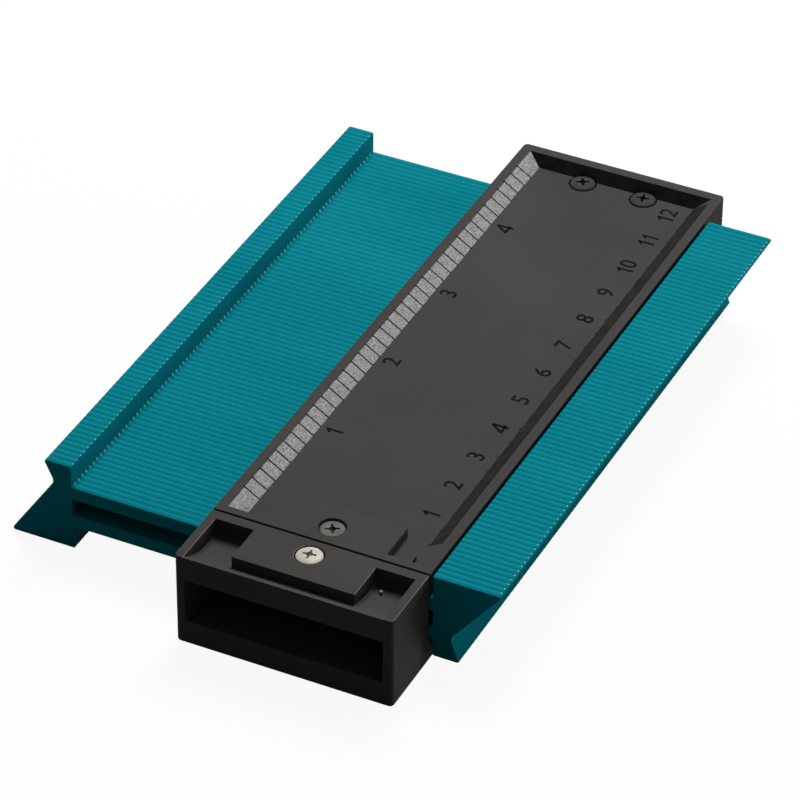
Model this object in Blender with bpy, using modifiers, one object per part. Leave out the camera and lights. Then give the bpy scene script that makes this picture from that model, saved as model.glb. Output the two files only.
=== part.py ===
"""Contour gauge: thin plastic fingers that slide sideways between a base and a ruled cover.

Frame: metres, +Z up. The origin is the centre of the body's bottom face. The fingers slide
along X and are stacked along Y. The end with the open socket faces -Y.
"""

import math

import bmesh
import bpy
from mathutils import Matrix, Vector

# Fits between pieces
CLEARANCE = 0.0003
PARTING_GAP = 0.0005
CUT_OVERRUN = 0.0020

# Body
BODY_WIDTH = 0.0445
BODY_HEIGHT = 0.0200
END_BLOCK_LENGTH = 0.01515
FAR_POST_LENGTH = 0.0092
CORNER_RADIUS = 0.0009
CORNER_SEGMENTS = 3
EDGE_CHAMFER = 0.00025

# Fingers
FINGER_COUNT = 89
FINGERS_PER_GROUP = 3
FINGER_PITCH = 0.001440
FINGER_BAR_HEIGHT = 0.48 * BODY_HEIGHT
FINGER_SLOT_HEIGHT = 0.185 * BODY_HEIGHT
FINGER_INNER_SPAN = 0.0756
FINGER_TOE_LENGTH = 0.0133
FINGER_TOE_NOSE = 0.0007
FINGER_TOE_ROUND = 0.0004
FINGER_RIDGE_WIDTH = 0.0059
FINGER_RIDGE_DROP = 0.0175 * BODY_HEIGHT
FINGER_RIDGE_NECK_WIDTH = 0.0037
FINGER_RIDGE_NOTCH_DROP = 0.2565 * BODY_HEIGHT
FINGER_HEEL_WIDTH = 0.0052
FINGER_HEEL_DROP = 0.0525 * BODY_HEIGHT
FINGER_HEEL_NECK_WIDTH = 0.0033
FINGER_HEEL_NOTCH_DROP = 0.3175 * BODY_HEIGHT
FINGER_GROOVE_DEPTH = 0.00022
FINGER_GROOVE_HALF_WIDTH = 0.00028
FINGER_REST_GAP = 0.0009
FINGER_TABLE_GAP = 0.0001
SLOT_CORNER_RADIUS = 0.0006

# Cover
COVER_SIDE_RIM = 0.0020
COVER_END_RIM = 0.00165
COVER_FAR_RIM = 0.0021
COVER_RECESS_DEPTH = 0.1025 * BODY_HEIGHT
COVER_SIDE_BEVEL = 0.0032
COVER_END_BEVEL = 0.0023
PLATFORM_WIDTH = 0.0251
PLATFORM_LENGTH = 0.0106
LIP_WIDTH = 0.0200
LIP_LENGTH = 0.0012
LIP_HEIGHT = 0.0016
CORNER_PAD_WIDTH = 0.0012
CORNER_PAD_LENGTH = 0.0034
CORNER_PAD_HEIGHT = 0.0010

# End block
SOCKET_WALL = 0.0020
SOCKET_HEIGHT = 0.47 * BODY_HEIGHT
BULKHEAD_THICKNESS = 0.0024
SCOOP_RIM = 0.0018
SCOOP_REAR_WALL = 0.00215
SCOOP_REAR_DEPTH = 0.17 * BODY_HEIGHT
SCOOP_TONGUE_DEPTH = 0.12 * BODY_HEIGHT
TONGUE_LENGTH = 0.0089
SCOOP_STEPS = 8

# Guide bar and friction strips
GUIDE_WIDTH = 0.0380
GUIDE_SEAT_DEPTH = 0.0010
GUIDE_EDGE_BEVEL = 0.0004
STRIP_WIDTH = 0.0100
STRIP_THICKNESS = 0.0010
STRIP_END_MARGIN = 0.0010

# Screws
SCREW_STEPS = 16
SCREW_SHANK_RADIUS = 0.0012
SCREW_TIP_LENGTH = 0.0010
COVER_SCREW_SPACING = 0.0134
COVER_SCREW_INSET = 0.0057
COVER_SCREW_HEAD_RADIUS = 0.0026
COVER_SCREW_HEAD_HEIGHT = 0.0013
COVER_SCREW_PROUD = 0.0005
COVER_SCREW_SHANK_LENGTH = 0.0080
TENSION_SCREW_INSET = 0.0046
TENSION_SCREW_HEAD_RADIUS = 0.0024
TENSION_SCREW_SUNK = 0.0004
COUPLING_SCREW_INSET = 0.00425
COUPLING_SCREW_HEAD_RADIUS = 0.0026
COUPLING_SCREW_HEAD_HEIGHT = 0.0014
COUPLING_SCREW_PROUD = 0.0003
COUPLING_SCREW_SHANK_LENGTH = 0.0034

# Levels and stations worked out from the sizes above
STACK_LENGTH = FINGER_COUNT * FINGER_PITCH
BODY_LENGTH = END_BLOCK_LENGTH + CLEARANCE + STACK_LENGTH + CLEARANCE + FAR_POST_LENGTH
NEAR_Y = -BODY_LENGTH / 2
FAR_Y = BODY_LENGTH / 2
BLOCK_REAR_Y = NEAR_Y + END_BLOCK_LENGTH
STACK_NEAR_Y = BLOCK_REAR_Y + CLEARANCE
POST_Y = FAR_Y - FAR_POST_LENGTH
COVER_NEAR_Y = BLOCK_REAR_Y + PARTING_GAP
MID_Z = BODY_HEIGHT / 2
BAR_BOTTOM_Z = MID_Z - FINGER_BAR_HEIGHT / 2
BAR_TOP_Z = MID_Z + FINGER_BAR_HEIGHT / 2
FLOOR_Z = BAR_BOTTOM_Z - CLEARANCE
COVER_BOTTOM_Z = BAR_TOP_Z + CLEARANCE
POST_TOP_Z = COVER_BOTTOM_Z - CLEARANCE
RECESS_Z = BODY_HEIGHT - COVER_RECESS_DEPTH
SOCKET_TOP_Z = MID_Z + SOCKET_HEIGHT / 2
GUIDE_THICKNESS = FINGER_SLOT_HEIGHT - 2 * CLEARANCE
FINGER_RIGHT_INNER_X = BODY_WIDTH / 2 + FINGER_REST_GAP
FINGER_CENTRE_X = FINGER_RIGHT_INNER_X - FINGER_INNER_SPAN / 2
COVER_SCREW_Y = FAR_Y - COVER_SCREW_INSET
TENSION_SCREW_Y = COVER_NEAR_Y + TENSION_SCREW_INSET
COUPLING_SCREW_Y = BLOCK_REAR_Y - COUPLING_SCREW_INSET

parts = None
cutters = None


def clear_scene():
    """Empty the scene and make the two collections."""
    global parts, cutters
    for item in list(bpy.data.objects):
        bpy.data.objects.remove(item, do_unlink=True)
    parts = bpy.data.collections.new("contour_gauge")
    cutters = bpy.data.collections.new("cutters")
    bpy.context.scene.collection.children.link(parts)
    bpy.context.scene.collection.children.link(cutters)


def make_material(name, colour, roughness, metallic=0.0):
    """Return a plain Principled material."""
    material = bpy.data.materials.new(name)
    material.use_nodes = True
    shader = material.node_tree.nodes["Principled BSDF"]
    shader.inputs["Base Color"].default_value = (*colour, 1.0)
    shader.inputs["Roughness"].default_value = roughness
    shader.inputs["Metallic"].default_value = metallic
    return material


def add_object(name, mesh, material):
    """Put a mesh into the gauge's collection as a named piece."""
    piece = bpy.data.objects.new(name, mesh)
    if not mesh.materials:
        mesh.materials.append(material)
    parts.objects.link(piece)
    return piece


def add_cutter(name, mesh):
    """Put a mesh into the cutters' collection, hidden from the finished part."""
    cutter = bpy.data.objects.new(name, mesh)
    cutter.hide_render = True
    cutter.display_type = "WIRE"
    cutters.objects.link(cutter)
    return cutter


def cut(piece, *tools):
    """Take each tool's volume out of the piece."""
    for tool in tools:
        modifier = piece.modifiers.new("cut_" + tool.name, "BOOLEAN")
        modifier.operation = "DIFFERENCE"
        modifier.solver = "EXACT"
        modifier.object = tool


def box_mesh(name, low, high):
    """Return a box between two corners."""
    low = Vector(low)
    high = Vector(high)
    size = high - low
    place = Matrix.Translation((low + high) / 2) @ Matrix.Diagonal((*size, 1.0))
    shape = bmesh.new()
    bmesh.ops.create_cube(shape, size=1.0, matrix=place)
    mesh = bpy.data.meshes.new(name)
    shape.to_mesh(mesh)
    shape.free()
    return mesh


def outline_mesh(name, outline, thickness, turn):
    """Return a flat outline given thickness, then turned and placed by a matrix."""
    curve = bpy.data.curves.new(name, "CURVE")
    curve.dimensions = "2D"
    curve.fill_mode = "BOTH"
    curve.extrude = thickness / 2
    spline = curve.splines.new("POLY")
    spline.points.add(len(outline) - 1)
    for point, (u, v) in zip(spline.points, outline):
        point.co = (u, v, 0.0, 1.0)
    spline.use_cyclic_u = True
    guide = bpy.data.objects.new(name + "_outline", curve)
    cutters.objects.link(guide)
    evaluated = guide.evaluated_get(bpy.context.evaluated_depsgraph_get())
    mesh = bpy.data.meshes.new_from_object(evaluated)
    mesh.name = name
    bpy.data.objects.remove(guide, do_unlink=True)
    shape = bmesh.new()
    shape.from_mesh(mesh)
    bmesh.ops.remove_doubles(shape, verts=shape.verts, dist=0.00001)
    bmesh.ops.transform(shape, matrix=turn, verts=shape.verts)
    bmesh.ops.dissolve_limit(shape, angle_limit=0.001, verts=shape.verts, edges=shape.edges)
    bmesh.ops.recalc_face_normals(shape, faces=shape.faces)
    shape.to_mesh(mesh)
    shape.free()
    return mesh


def side_view(x_centre):
    """Matrix that lays an outline drawn as (Y, Z) across the body at x_centre."""
    axes = Matrix(((0, 0, 1, x_centre), (1, 0, 0, 0), (0, 1, 0, 0), (0, 0, 0, 1)))
    return axes


def end_view(y_centre):
    """Matrix that lays an outline drawn as (X, Z) along the body at y_centre."""
    axes = Matrix(((1, 0, 0, 0), (0, 0, -1, y_centre), (0, 1, 0, 0), (0, 0, 0, 1)))
    return axes


def bevel_edges(mesh, chosen, width, segments):
    """Round the edges for which chosen(edge) is true."""
    shape = bmesh.new()
    shape.from_mesh(mesh)
    edges = [edge for edge in shape.edges if chosen(edge)]
    bmesh.ops.bevel(
        shape, geom=edges, offset=width, segments=segments, profile=0.5,
        affect="EDGES", clamp_overlap=True, material=-1,
    )
    shape.to_mesh(mesh)
    shape.free()


def edge_runs_along(edge, axis):
    """Say whether an edge is parallel to an axis (0, 1 or 2)."""
    along = edge.verts[1].co - edge.verts[0].co
    return abs(along[axis]) > 0.999 * along.length


def turned_mesh(name, profile, place):
    """Return a profile of (radius, height) points, top to bottom, turned round Z at place."""
    mesh = bpy.data.meshes.new(name + "_profile")
    points = [(radius, 0.0, height) for radius, height in profile]
    links = [(index, index + 1) for index in range(len(points) - 1)]
    mesh.from_pydata(points, links, [])
    holder = bpy.data.objects.new(name + "_profile", mesh)
    cutters.objects.link(holder)
    screw = holder.modifiers.new("turn", "SCREW")
    screw.steps = SCREW_STEPS
    screw.render_steps = SCREW_STEPS
    screw.use_merge_vertices = True
    screw.merge_threshold = 0.00001
    evaluated = holder.evaluated_get(bpy.context.evaluated_depsgraph_get())
    turned = bpy.data.meshes.new_from_object(evaluated)
    turned.name = name
    bpy.data.objects.remove(holder, do_unlink=True)
    shape = bmesh.new()
    shape.from_mesh(turned)
    bmesh.ops.remove_doubles(shape, verts=shape.verts, dist=0.00001)
    bmesh.ops.recalc_face_normals(shape, faces=shape.faces)
    bmesh.ops.translate(shape, vec=place, verts=shape.verts)
    shape.to_mesh(turned)
    shape.free()
    return turned


def half_outline(width, drop, neck_width, notch_drop):
    """Left half of a finger seen along Y, about its own centre, as (X, Z) points.

    It runs over the raised block (width, drop below the finger's top), in at the notch under it,
    out to the toe and back along the foot.
    """
    half_span = FINGER_INNER_SPAN / 2
    half_height = BODY_HEIGHT / 2 - FINGER_TABLE_GAP
    bar = FINGER_BAR_HEIGHT / 2
    toe_x = -half_span - FINGER_TOE_LENGTH
    return [
        (-half_span, bar),
        (-half_span, half_height - drop),
        (-half_span - width, half_height - drop),
        (-half_span - neck_width, half_height - notch_drop),
        (toe_x, -half_height + FINGER_TOE_NOSE),
        (toe_x + FINGER_TOE_ROUND, -half_height),
        (-half_span, -half_height),
        (-half_span, -bar),
    ]


def finger_outline():
    """Outline of one finger: the half with the ridge, then the half with the heel turned round."""
    ridge = half_outline(FINGER_RIDGE_WIDTH, FINGER_RIDGE_DROP,
                         FINGER_RIDGE_NECK_WIDTH, FINGER_RIDGE_NOTCH_DROP)
    heel = half_outline(FINGER_HEEL_WIDTH, FINGER_HEEL_DROP,
                        FINGER_HEEL_NECK_WIDTH, FINGER_HEEL_NOTCH_DROP)
    return ridge + [(-x, -z) for x, z in heel]


def finger_group_mesh(count):
    """Return a block of touching fingers with a groove pressed in between each two."""
    thickness = count * FINGER_PITCH - CLEARANCE
    name = "finger_group_of_%d" % count
    mesh = outline_mesh(name, finger_outline(), thickness, end_view(0.0))
    shape = bmesh.new()
    shape.from_mesh(mesh)
    for index in range(1, count):
        groove_y = (index - count / 2) * FINGER_PITCH
        for offset in (-FINGER_GROOVE_HALF_WIDTH, 0.0, FINGER_GROOVE_HALF_WIDTH):
            everything = list(shape.verts) + list(shape.edges) + list(shape.faces)
            bmesh.ops.bisect_plane(
                shape, geom=everything, dist=0.000001,
                plane_co=(0.0, groove_y + offset, 0.0), plane_no=(0.0, 1.0, 0.0),
            )
        shape.normal_update()
        ring = [vert for vert in shape.verts if abs(vert.co.y - groove_y) < 0.00001]
        moves = [(vert, vert.normal * FINGER_GROOVE_DEPTH * vert.calc_shell_factor()) for vert in ring]
        for vert, move in moves:
            vert.co -= move
    shape.to_mesh(mesh)
    shape.free()
    return mesh


def build_fingers(material):
    """Stack the groups of fingers along Y and cut the long slot through all of them."""
    half_slot = FINGER_INNER_SPAN / 2
    half_height = FINGER_SLOT_HEIGHT / 2
    far_y = STACK_NEAR_Y + STACK_LENGTH + CUT_OVERRUN
    slot = add_cutter("finger_slot", box_mesh(
        "finger_slot",
        (FINGER_CENTRE_X - half_slot, STACK_NEAR_Y - CUT_OVERRUN, MID_Z - half_height),
        (FINGER_CENTRE_X + half_slot, far_y, MID_Z + half_height),
    ))
    bevel_edges(slot.data, lambda edge: edge_runs_along(edge, 1), SLOT_CORNER_RADIUS, 2)
    meshes = {}
    first = 0
    number = 1
    while first < FINGER_COUNT:
        count = min(FINGERS_PER_GROUP, FINGER_COUNT - first)
        if count not in meshes:
            meshes[count] = finger_group_mesh(count)
        group = add_object("finger_group_%02d" % number, meshes[count], material)
        centre_y = STACK_NEAR_Y + (first + count / 2) * FINGER_PITCH
        group.location = (FINGER_CENTRE_X, centre_y, MID_Z)
        cut(group, slot)
        first += count
        number += 1


def circle_through(a, b, c):
    """Return the centre and radius of the circle through three points in a plane."""
    ax, ay = a
    bx, by = b
    cx, cy = c
    d = 2 * (ax * (by - cy) + bx * (cy - ay) + cx * (ay - by))
    sa = ax * ax + ay * ay
    sb = bx * bx + by * by
    sc = cx * cx + cy * cy
    ux = (sa * (by - cy) + sb * (cy - ay) + sc * (ay - by)) / d
    uy = (sa * (cx - bx) + sb * (ax - cx) + sc * (bx - ax)) / d
    return (ux, uy), math.dist((ux, uy), a)


def scoop_outline():
    """Outline of the thumb scoop seen along X, as (Y, Z) points.

    Its floor is an arc through the foot of the rear wall, the foot of the tongue and the
    block's front edge.
    """
    rear_y = BLOCK_REAR_Y - SCOOP_REAR_WALL
    rear = (rear_y, BODY_HEIGHT - SCOOP_REAR_DEPTH)
    middle = (rear_y - TONGUE_LENGTH, BODY_HEIGHT - SCOOP_TONGUE_DEPTH)
    front = (NEAR_Y, BODY_HEIGHT)
    (centre_y, centre_z), radius = circle_through(rear, middle, front)
    start = math.atan2(front[1] - centre_z, front[0] - centre_y)
    end = math.atan2(rear[1] - centre_z, rear[0] - centre_y)
    if start < 0:
        start += 2 * math.pi
    if end < 0:
        end += 2 * math.pi
    outline = []
    for step in range(SCOOP_STEPS + 1):
        angle = start + (end - start) * step / SCOOP_STEPS
        outline.append((centre_y + radius * math.cos(angle), centre_z + radius * math.sin(angle)))
    outline.append((rear_y, BODY_HEIGHT + CUT_OVERRUN))
    outline.append((NEAR_Y - CUT_OVERRUN, BODY_HEIGHT + CUT_OVERRUN))
    outline.append((NEAR_Y - CUT_OVERRUN, BODY_HEIGHT))
    return outline


def scoop_cutter():
    """Cutter for the two scoops and the trench in front of the tongue."""
    width = BODY_WIDTH - 2 * SCOOP_RIM
    scoop = add_cutter("scoop", outline_mesh("scoop", scoop_outline(), width, side_view(0.0)))
    rear_y = BLOCK_REAR_Y - SCOOP_REAR_WALL
    tongue = add_cutter("tongue", box_mesh(
        "tongue",
        (-PLATFORM_WIDTH / 2, rear_y - TONGUE_LENGTH, BODY_HEIGHT - SCOOP_REAR_DEPTH - CUT_OVERRUN),
        (PLATFORM_WIDTH / 2, rear_y + CUT_OVERRUN, BODY_HEIGHT + 2 * CUT_OVERRUN),
    ))
    cut(scoop, tongue)
    return scoop


def strip_groove(name, low_z, high_z):
    """Cutter for the groove that holds a friction strip."""
    half = STRIP_WIDTH / 2 + CLEARANCE
    return add_cutter(name, box_mesh(
        name,
        (-half, STACK_NEAR_Y + STRIP_END_MARGIN - CLEARANCE, low_z),
        (half, STACK_NEAR_Y + STACK_LENGTH - STRIP_END_MARGIN + CLEARANCE, high_z),
    ))


def guide_seat_cutter():
    """Cutter for the two pockets that hold the guide bar's ends."""
    half_width = GUIDE_WIDTH / 2 + CLEARANCE
    half_height = GUIDE_THICKNESS / 2 + CLEARANCE
    return add_cutter("guide_seats", box_mesh(
        "guide_seats",
        (-half_width, BLOCK_REAR_Y - GUIDE_SEAT_DEPTH - CLEARANCE, MID_Z - half_height),
        (half_width, POST_Y + GUIDE_SEAT_DEPTH + CLEARANCE, MID_Z + half_height),
    ))


def pan_seat_cutter(name, x, y, head_z, head_radius, head_height, open_z, end_z):
    """Cutter for a pan head's flat seat and the hole under it, from open_z down to end_z."""
    wide = head_radius + CLEARANCE
    narrow = SCREW_SHANK_RADIUS + CLEARANCE
    seat_z = head_z - head_height - CLEARANCE
    profile = [
        (0.0, open_z), (wide, open_z), (wide, seat_z),
        (narrow, seat_z), (narrow, end_z), (0.0, end_z),
    ]
    return add_cutter(name, turned_mesh(name, profile, (x, y, 0.0)))


def post_hole_cutter(name, x, y):
    """Cutter for the blind hole that takes a cover screw's shank."""
    radius = SCREW_SHANK_RADIUS + CLEARANCE
    top_z = POST_TOP_Z + CUT_OVERRUN
    end_z = cover_screw_tip_z() - CLEARANCE
    profile = [(0.0, top_z), (radius, top_z), (radius, end_z), (0.0, end_z)]
    return add_cutter(name, turned_mesh(name, profile, (x, y, 0.0)))


def build_base(material):
    """Base moulding: floor, end block with its socket and scoops, and far post."""
    side = [
        (NEAR_Y, 0.0), (FAR_Y, 0.0), (FAR_Y, POST_TOP_Z), (POST_Y, POST_TOP_Z),
        (POST_Y, FLOOR_Z), (BLOCK_REAR_Y, FLOOR_Z), (BLOCK_REAR_Y, BODY_HEIGHT), (NEAR_Y, BODY_HEIGHT),
    ]
    mesh = outline_mesh("base_housing", side, BODY_WIDTH, side_view(0.0))

    def at_end_corner(edge):
        return edge_runs_along(edge, 2) and abs(abs(edge.verts[0].co.y) - FAR_Y) < 0.00001

    def at_bottom(edge):
        return all(vert.co.z < 0.00001 for vert in edge.verts)

    bevel_edges(mesh, at_end_corner, CORNER_RADIUS, CORNER_SEGMENTS)
    bevel_edges(mesh, at_bottom, EDGE_CHAMFER, 1)
    base = add_object("base_housing", mesh, material)
    socket = add_cutter("socket", box_mesh(
        "socket",
        (-BODY_WIDTH / 2 + SOCKET_WALL, NEAR_Y - CUT_OVERRUN, MID_Z - SOCKET_HEIGHT / 2),
        (BODY_WIDTH / 2 - SOCKET_WALL, BLOCK_REAR_Y - BULKHEAD_THICKNESS, SOCKET_TOP_Z),
    ))
    lip_slot = add_cutter("lip_slot", box_mesh(
        "lip_slot",
        (-LIP_WIDTH / 2 - CLEARANCE, COVER_NEAR_Y - LIP_LENGTH - PARTING_GAP, COVER_BOTTOM_Z - CLEARANCE),
        (LIP_WIDTH / 2 + CLEARANCE, BLOCK_REAR_Y + CUT_OVERRUN, COVER_BOTTOM_Z + LIP_HEIGHT + CLEARANCE),
    ))
    floor_groove = strip_groove("floor_groove", FLOOR_Z - STRIP_THICKNESS - CLEARANCE, MID_Z)
    cut(base, socket, scoop_cutter(), lip_slot, floor_groove, guide_seat_cutter())
    for side_name, side_sign in (("left", -1), ("right", 1)):
        hole_x = side_sign * COVER_SCREW_SPACING / 2
        cut(base, post_hole_cutter("post_hole_" + side_name, hole_x, COVER_SCREW_Y))
    cut(base, pan_seat_cutter(
        "coupling_seat", 0.0, COUPLING_SCREW_Y, coupling_head_z(), COUPLING_SCREW_HEAD_RADIUS,
        COUPLING_SCREW_HEAD_HEIGHT, BODY_HEIGHT + CUT_OVERRUN, SOCKET_TOP_Z - CUT_OVERRUN,
    ))
    return base


def recess_mesh():
    """Return the tapered block that sinks the ruled field into the cover."""
    low_x = BODY_WIDTH / 2 - COVER_SIDE_RIM - COVER_SIDE_BEVEL
    low_near = COVER_NEAR_Y + COVER_END_RIM + COVER_END_BEVEL
    low_far = FAR_Y - COVER_FAR_RIM - COVER_END_BEVEL
    slope_up = (COVER_RECESS_DEPTH + CUT_OVERRUN) / COVER_RECESS_DEPTH
    mesh = box_mesh("recess", (-low_x, low_near, RECESS_Z), (low_x, low_far, BODY_HEIGHT + CUT_OVERRUN))
    for vert in mesh.vertices:
        if vert.co.z > BODY_HEIGHT:
            vert.co.x += math.copysign(COVER_SIDE_BEVEL * slope_up, vert.co.x)
            vert.co.y += math.copysign(COVER_END_BEVEL * slope_up, vert.co.y - (low_near + low_far) / 2)
    return mesh


def recess_cutter():
    """Cutter for the ruled field, less the platform and the corner pad left standing in it."""
    recess = add_cutter("recess", recess_mesh())
    platform = add_cutter("platform", box_mesh(
        "platform",
        (-PLATFORM_WIDTH / 2, COVER_NEAR_Y - CUT_OVERRUN, RECESS_Z - CUT_OVERRUN),
        (PLATFORM_WIDTH / 2, COVER_NEAR_Y + PLATFORM_LENGTH, BODY_HEIGHT + 2 * CUT_OVERRUN),
    ))
    pad_x = BODY_WIDTH / 2 - COVER_SIDE_RIM - COVER_SIDE_BEVEL
    pad_y = COVER_NEAR_Y + COVER_END_RIM
    pad = add_cutter("corner_pad", box_mesh(
        "corner_pad",
        (pad_x - CORNER_PAD_WIDTH, pad_y - CUT_OVERRUN, RECESS_Z - CUT_OVERRUN),
        (pad_x, pad_y + CORNER_PAD_LENGTH, RECESS_Z + CORNER_PAD_HEIGHT),
    ))
    cut(recess, platform, pad)
    return recess


def build_cover(material):
    """Cover plate with its sunk ruled field, raised platform, lip and screw seats."""
    half = BODY_WIDTH / 2
    mesh = box_mesh("ruler_cover", (-half, COVER_NEAR_Y, COVER_BOTTOM_Z), (half, FAR_Y, BODY_HEIGHT))

    def at_far_corner(edge):
        return edge_runs_along(edge, 2) and edge.verts[0].co.y > POST_Y

    bevel_edges(mesh, at_far_corner, CORNER_RADIUS, CORNER_SEGMENTS)
    cover = add_object("ruler_cover", mesh, material)
    lip = add_cutter("cover_lip", box_mesh(
        "cover_lip",
        (-LIP_WIDTH / 2, COVER_NEAR_Y - LIP_LENGTH, COVER_BOTTOM_Z),
        (LIP_WIDTH / 2, COVER_NEAR_Y + LIP_LENGTH, COVER_BOTTOM_Z + LIP_HEIGHT),
    ))
    join = cover.modifiers.new("join_lip", "BOOLEAN")
    join.operation = "UNION"
    join.solver = "EXACT"
    join.object = lip
    groove = strip_groove("cover_groove", COVER_BOTTOM_Z - CUT_OVERRUN,
                          COVER_BOTTOM_Z + STRIP_THICKNESS + CLEARANCE)
    cut(cover, recess_cutter(), groove)
    for side_name, side_sign in (("left", -1), ("right", 1)):
        cut(cover, pan_seat_cutter(
            "cover_screw_seat_" + side_name, side_sign * COVER_SCREW_SPACING / 2, COVER_SCREW_Y,
            cover_screw_head_z(), COVER_SCREW_HEAD_RADIUS, COVER_SCREW_HEAD_HEIGHT,
            BODY_HEIGHT, COVER_BOTTOM_Z - CUT_OVERRUN,
        ))
    cut(cover, tension_seat_cutter())
    return cover


def cover_screw_head_z():
    """Top of the cover screws' heads."""
    return RECESS_Z + COVER_SCREW_PROUD


def cover_screw_tip_z():
    """Lowest point of the cover screws."""
    return cover_screw_head_z() - COVER_SCREW_HEAD_HEIGHT - COVER_SCREW_SHANK_LENGTH


def coupling_head_z():
    """Top of the coupling screw's head."""
    return BODY_HEIGHT + COUPLING_SCREW_PROUD


def pan_screw_profile(head_z, head_radius, head_height, shank_length):
    """Profile of a screw with a low domed head and a pointed shank."""
    under_head = head_z - head_height
    tip = under_head - shank_length
    return [
        (0.0, head_z), (head_radius * 0.62, head_z - head_height * 0.05),
        (head_radius * 0.9, head_z - head_height * 0.2), (head_radius, head_z - head_height * 0.45),
        (head_radius, under_head), (SCREW_SHANK_RADIUS, under_head),
        (SCREW_SHANK_RADIUS, tip + SCREW_TIP_LENGTH), (0.0, tip),
    ]


def tension_screw_levels():
    """Return the head's top, the cone's foot and the tip of the countersunk tension screw."""
    head_z = BODY_HEIGHT - TENSION_SCREW_SUNK
    cone_z = head_z - (TENSION_SCREW_HEAD_RADIUS - SCREW_SHANK_RADIUS)
    tip_z = COVER_BOTTOM_Z + STRIP_THICKNESS + CLEARANCE
    return head_z, cone_z, tip_z


def tension_seat_cutter():
    """Cutter for the countersunk hole of the tension screw."""
    head_z, cone_z, tip_z = tension_screw_levels()
    wide = TENSION_SCREW_HEAD_RADIUS + CLEARANCE
    narrow = SCREW_SHANK_RADIUS + CLEARANCE
    profile = [
        (0.0, BODY_HEIGHT + CUT_OVERRUN), (wide, BODY_HEIGHT + CUT_OVERRUN),
        (wide, head_z - CLEARANCE), (narrow, cone_z - CLEARANCE),
        (narrow, tip_z - CLEARANCE), (0.0, tip_z - CLEARANCE),
    ]
    return add_cutter("tension_seat", turned_mesh("tension_seat", profile, (0.0, TENSION_SCREW_Y, 0.0)))


def build_screws(black, grey, bright):
    """The two cover screws, the tension screw and the coupling screw."""
    profile = pan_screw_profile(cover_screw_head_z(), COVER_SCREW_HEAD_RADIUS,
                                COVER_SCREW_HEAD_HEIGHT, COVER_SCREW_SHANK_LENGTH)
    for side_name, side_sign in (("left", -1), ("right", 1)):
        name = "cover_screw_" + side_name
        place = (side_sign * COVER_SCREW_SPACING / 2, COVER_SCREW_Y, 0.0)
        add_object(name, turned_mesh(name, profile, place), black)
    head_z, cone_z, tip_z = tension_screw_levels()
    profile = [
        (0.0, head_z), (TENSION_SCREW_HEAD_RADIUS, head_z),
        (SCREW_SHANK_RADIUS, cone_z), (SCREW_SHANK_RADIUS, tip_z), (0.0, tip_z),
    ]
    add_object("tension_screw", turned_mesh("tension_screw", profile, (0.0, TENSION_SCREW_Y, 0.0)), grey)
    profile = pan_screw_profile(coupling_head_z(), COUPLING_SCREW_HEAD_RADIUS,
                                COUPLING_SCREW_HEAD_HEIGHT, COUPLING_SCREW_SHANK_LENGTH)
    place = (0.0, COUPLING_SCREW_Y, 0.0)
    add_object("coupling_screw", turned_mesh("coupling_screw", profile, place), bright)


def build_guide_bar(material):
    """Flat bar that runs through every finger's slot, end block to far post."""
    mesh = box_mesh(
        "guide_bar",
        (-GUIDE_WIDTH / 2, BLOCK_REAR_Y - GUIDE_SEAT_DEPTH, MID_Z - GUIDE_THICKNESS / 2),
        (GUIDE_WIDTH / 2, POST_Y + GUIDE_SEAT_DEPTH, MID_Z + GUIDE_THICKNESS / 2),
    )
    bevel_edges(mesh, lambda edge: edge_runs_along(edge, 1), GUIDE_EDGE_BEVEL, 1)
    return add_object("guide_bar", mesh, material)


def build_friction_strips(material):
    """Soft strips that press on the fingers' rails from above and below."""
    y_low = STACK_NEAR_Y + STRIP_END_MARGIN
    y_high = STACK_NEAR_Y + STACK_LENGTH - STRIP_END_MARGIN
    half = STRIP_WIDTH / 2
    for name, low_z in (("friction_strip_upper", COVER_BOTTOM_Z),
                        ("friction_strip_lower", FLOOR_Z - STRIP_THICKNESS)):
        mesh = box_mesh(name, (-half, y_low, low_z), (half, y_high, low_z + STRIP_THICKNESS))
        add_object(name, mesh, material)


def main():
    """Build the gauge."""
    clear_scene()
    charcoal = make_material("charcoal_plastic", (0.075, 0.071, 0.068), 0.48)
    teal = make_material("teal_plastic", (0.010, 0.262, 0.320), 0.38)
    steel = make_material("guide_steel", (0.45, 0.45, 0.44), 0.35, 1.0)
    felt = make_material("friction_felt", (0.10, 0.10, 0.10), 0.95)
    black = make_material("black_screw", (0.06, 0.06, 0.06), 0.35, 1.0)
    grey = make_material("grey_screw", (0.30, 0.30, 0.28), 0.35, 1.0)
    bright = make_material("bright_screw", (0.80, 0.77, 0.70), 0.25, 1.0)
    build_base(charcoal)
    build_cover(charcoal)
    build_guide_bar(steel)
    build_friction_strips(felt)
    build_fingers(teal)
    build_screws(black, grey, bright)


main()
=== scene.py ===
"""Looks of the contour gauge: finishes, fine edges, scales, numerals, camera and light.

Everything is in metres in the part's own frame. The fingers slide along X and are stacked
along Y; the end with the open socket faces -Y.
"""

from __future__ import annotations

import logging
import math
import random
from dataclasses import dataclass, field
from enum import Enum

import bmesh
import bpy
from mathutils import Matrix, Vector


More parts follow.
